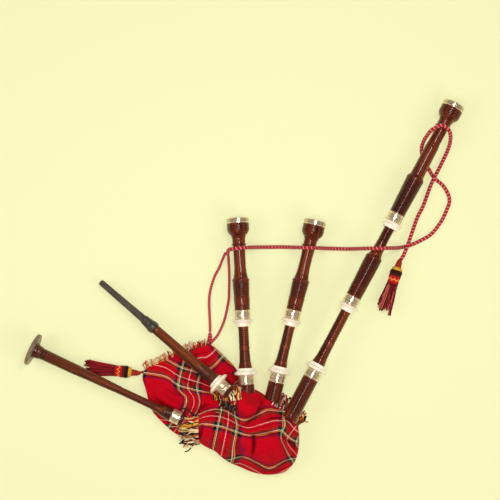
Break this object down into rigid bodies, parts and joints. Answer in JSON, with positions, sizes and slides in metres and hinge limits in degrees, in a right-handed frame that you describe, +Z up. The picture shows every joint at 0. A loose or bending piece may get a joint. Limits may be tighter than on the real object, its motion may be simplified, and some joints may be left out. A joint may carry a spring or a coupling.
{
  "type": "bagpipes",
  "caption": "Highland bagpipes lying flat, with a tartan-covered bag, chanter, blowpipe, tenor and bass drones, cord and tassels.",
  "frame": {"origin": "middle of the main lobe's flat underside, where the bag rests on the table", "axes": "+Z up from the table, +X along the table from the chanter sole towards the bass drone, +Y towards the drone bells"},
  "size_m": [0.9688, 0.8309, 0.0973],
  "materials": {
    "rosewood": "polished, turned",
    "dark_rosewood": "oiled, turned",
    "nickel": "engraved, polished",
    "imitation_ivory": "polished",
    "sole_composite": "turned, satin",
    "black_plastic": "moulded",
    "waxed_hemp": "waxed thread",
    "cane": "split cane",
    "hide": "tanned",
    "tartan": "woven wool twill",
    "cord_silk": "twisted",
    "tassel_wool": "spun"
  },
  "bodies": {
    "root": {"bag": "hide", "bag_cover": "tartan", "tenor_left_stock": "rosewood", "tenor_right_stock": "rosewood", "bass_stock": "rosewood", "blowpipe_stock": "rosewood", "chanter_stock": "dark_rosewood", "tenor_left_stock_ferrule": "nickel", "tenor_right_stock_ferrule": "nickel", "bass_stock_ferrule": "nickel", "blowpipe_stock_ferrule": "nickel", "chanter_stock_ferrule": "nickel", "cord_main": "cord_silk", "cord_left_outer": "cord_silk", "cord_left_inner": "cord_silk", "tassel_left": "tassel_wool", "tassel_right": "tassel_wool"},
    "tenor_left_lower": {"tenor_left_bottom": "rosewood", "tenor_left_lower_mount": "imitation_ivory", "tenor_left_pin_hemp": "waxed_hemp", "tenor_left_tenon_hemp": "waxed_hemp", "tenor_left_reed_body": "cane"},
    "tenor_left_tongue": {"tenor_left_reed_tongue": "cane"},
    "tenor_right_lower": {"tenor_right_bottom": "rosewood", "tenor_right_lower_mount": "imitation_ivory", "tenor_right_pin_hemp": "waxed_hemp", "tenor_right_tenon_hemp": "waxed_hemp", "tenor_right_reed_body": "cane"},
    "tenor_right_tongue": {"tenor_right_reed_tongue": "cane"},
    "bass_lower": {"bass_bottom": "rosewood", "bass_lower_mount": "imitation_ivory", "bass_pin_hemp": "waxed_hemp", "bass_tenon_hemp": "waxed_hemp", "bass_reed_body": "cane"},
    "bass_tongue": {"bass_reed_tongue": "cane"},
    "tenor_left_upper": {"tenor_left_top": "rosewood", "tenor_left_top_ferrule": "nickel", "tenor_left_top_mount": "imitation_ivory", "tenor_left_ring_cap": "nickel"},
    "tenor_right_upper": {"tenor_right_top": "rosewood", "tenor_right_top_ferrule": "nickel", "tenor_right_top_mount": "imitation_ivory", "tenor_right_ring_cap": "nickel"},
    "bass_middle": {"bass_middle": "rosewood", "bass_middle_ferrule": "nickel", "bass_middle_mount": "imitation_ivory", "bass_middle_pin_hemp": "waxed_hemp"},
    "bass_upper": {"bass_top": "rosewood", "bass_top_ferrule": "nickel", "bass_top_mount": "imitation_ivory", "bass_ring_cap": "nickel"},
    "blowpipe_lapping": {"blowpipe_tenon_hemp": "waxed_hemp"},
    "blowpipe": {"blowstick": "rosewood", "blowpipe_mount": "imitation_ivory"},
    "mouthpiece": {"mouthpiece": "black_plastic"},
    "valve_flap": {"valve_flap": "hide"},
    "chanter_lapping": {"chanter_tenon_hemp": "waxed_hemp"},
    "chanter": {"chanter": "dark_rosewood", "chanter_sole": "sole_composite", "chanter_reed": "cane"}
  },
  "joints": [
    {"name": "tenor_left_turn", "type": "hinge", "parent": "root", "child": "tenor_left_lower", "pos_m": [-0.0026, 0.1275, 0.047], "axis": [-0.0528, 0.9967, -0.062], "continuous": true},
    {"name": "tenor_left_tongue_beat", "type": "hinge", "parent": "tenor_left_lower", "child": "tenor_left_tongue", "pos_m": [0.00299, 0.09281, 0.04917], "axis": [-0.0033, 0.0619, 0.9981], "range_deg": [-0.5, 2], "stiffness_Nm_per_rad": 0.0005},
    {"name": "tenor_right_turn", "type": "hinge", "parent": "root", "child": "tenor_right_lower", "pos_m": [0.0691, 0.1315, 0.047], "axis": [0.2373, 0.9695, -0.0618], "continuous": true},
    {"name": "tenor_right_tongue_beat", "type": "hinge", "parent": "tenor_right_lower", "child": "tenor_right_tongue", "pos_m": [0.06444, 0.09668, 0.04916], "axis": [0.0147, 0.0601, 0.9981], "range_deg": [-0.5, 2], "stiffness_Nm_per_rad": 0.0005},
    {"name": "bass_turn", "type": "hinge", "parent": "root", "child": "bass_lower", "pos_m": [0.1492, 0.1392, 0.047], "axis": [0.467, 0.8837, -0.0327], "continuous": true},
    {"name": "bass_tongue_beat", "type": "hinge", "parent": "bass_lower", "child": "bass_tongue", "pos_m": [0.13617, 0.10652, 0.04814], "axis": [0.0153, 0.0289, 0.9995], "range_deg": [-0.5, 2], "stiffness_Nm_per_rad": 0.0005},
    {"name": "tenor_left_tuning_slide", "type": "slide", "parent": "tenor_left_lower", "child": "tenor_left_upper", "axis": [-0.0528, 0.9967, -0.062], "range_m": [-0.015, 0.03]},
    {"name": "tenor_right_tuning_slide", "type": "slide", "parent": "tenor_right_lower", "child": "tenor_right_upper", "axis": [0.2373, 0.9695, -0.0618], "range_m": [-0.015, 0.03]},
    {"name": "bass_middle_slide", "type": "slide", "parent": "bass_lower", "child": "bass_middle", "axis": [0.467, 0.8837, -0.0327], "range_m": [-0.008, 0.03]},
    {"name": "bass_top_slide", "type": "slide", "parent": "bass_middle", "child": "bass_upper", "axis": [0.467, 0.8837, -0.0327], "range_m": [-0.008, 0.03]},
    {"name": "blowpipe_pull", "type": "slide", "parent": "root", "child": "blowpipe_lapping", "axis": [-0.7583, 0.6339, -0.1521], "range_m": [0, 0.026]},
    {"name": "blowpipe_turn", "type": "hinge", "parent": "blowpipe_lapping", "child": "blowpipe", "pos_m": [-0.0585, 0.1091, 0.072], "axis": [-0.7583, 0.6339, -0.1521], "continuous": true},
    {"name": "mouthpiece_pull", "type": "slide", "parent": "blowpipe", "child": "mouthpiece", "axis": [-0.7583, 0.6339, -0.1521], "range_m": [0, 0.018]},
    {"name": "valve_swing", "type": "hinge", "parent": "blowpipe", "child": "valve_flap", "pos_m": [-0.03454, 0.08907, 0.06831], "axis": [0.6413, 0.7673, 0], "range_deg": [0, 40], "stiffness_Nm_per_rad": 0.0003},
    {"name": "chanter_pull", "type": "slide", "parent": "root", "child": "chanter_lapping", "axis": [-0.9069, 0.4203, -0.0311], "range_m": [0, 0.028]},
    {"name": "chanter_turn", "type": "hinge", "parent": "chanter_lapping", "child": "chanter", "pos_m": [-0.1649, 0.0414, 0.048], "axis": [-0.9069, 0.4203, -0.0311], "continuous": true}
  ]
}
